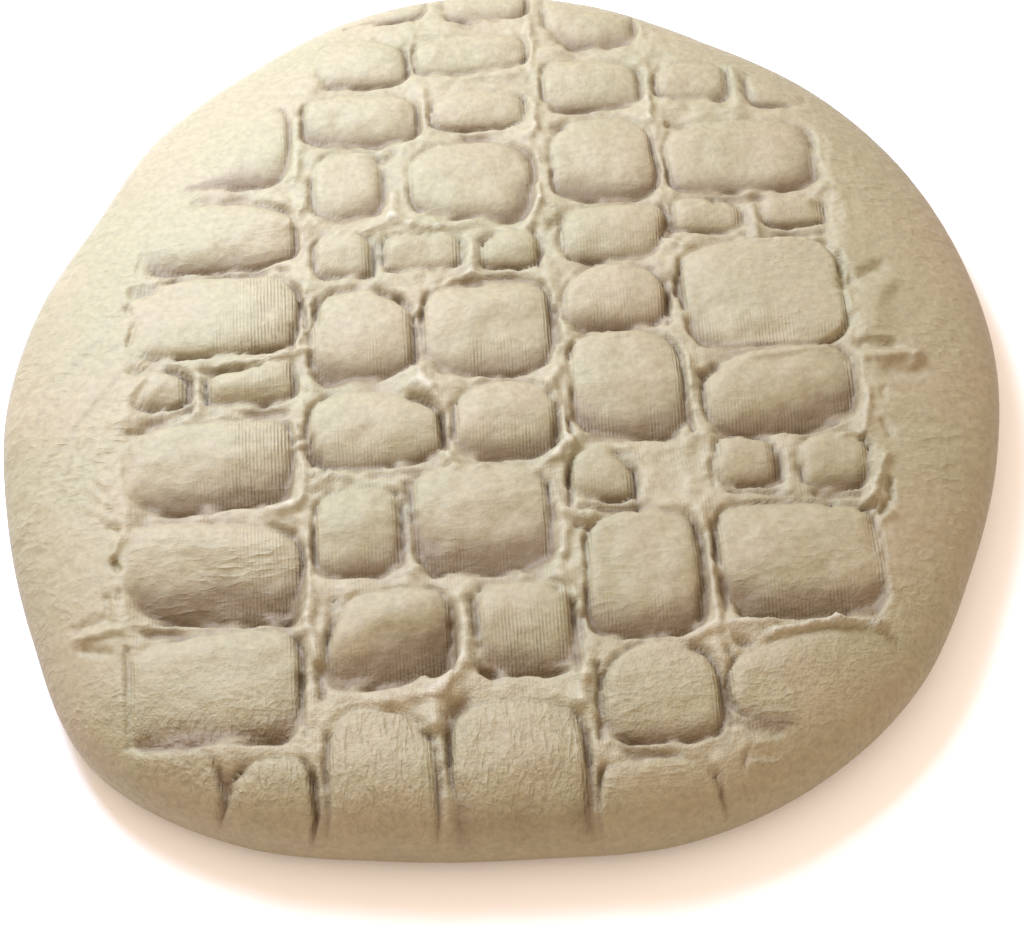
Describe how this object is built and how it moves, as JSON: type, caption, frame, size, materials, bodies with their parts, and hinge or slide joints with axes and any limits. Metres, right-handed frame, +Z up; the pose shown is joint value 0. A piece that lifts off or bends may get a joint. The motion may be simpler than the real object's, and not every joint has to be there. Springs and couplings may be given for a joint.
{
  "type": "textured clay slab",
  "caption": "Hand-pressed pat of polymer clay, a low dome with a flat underside and cobblestones rolled in raised relief into its top.",
  "frame": {"origin": "on the flat underside, under the middle of the pat's bounding box", "axes": "+Z up through the pat's thickness; +Y the way the roller ran, along the courses of stones, away from the near edge; +X to the right across the courses"},
  "size_m": [0.0582, 0.0612, 0.0061],
  "materials": {
    "clay": "matt grey-green beige polymer clay with a faint sheen on the crests"
  },
  "bodies": {
    "root": {"clay_slab": "clay"}
  },
  "joints": []
}
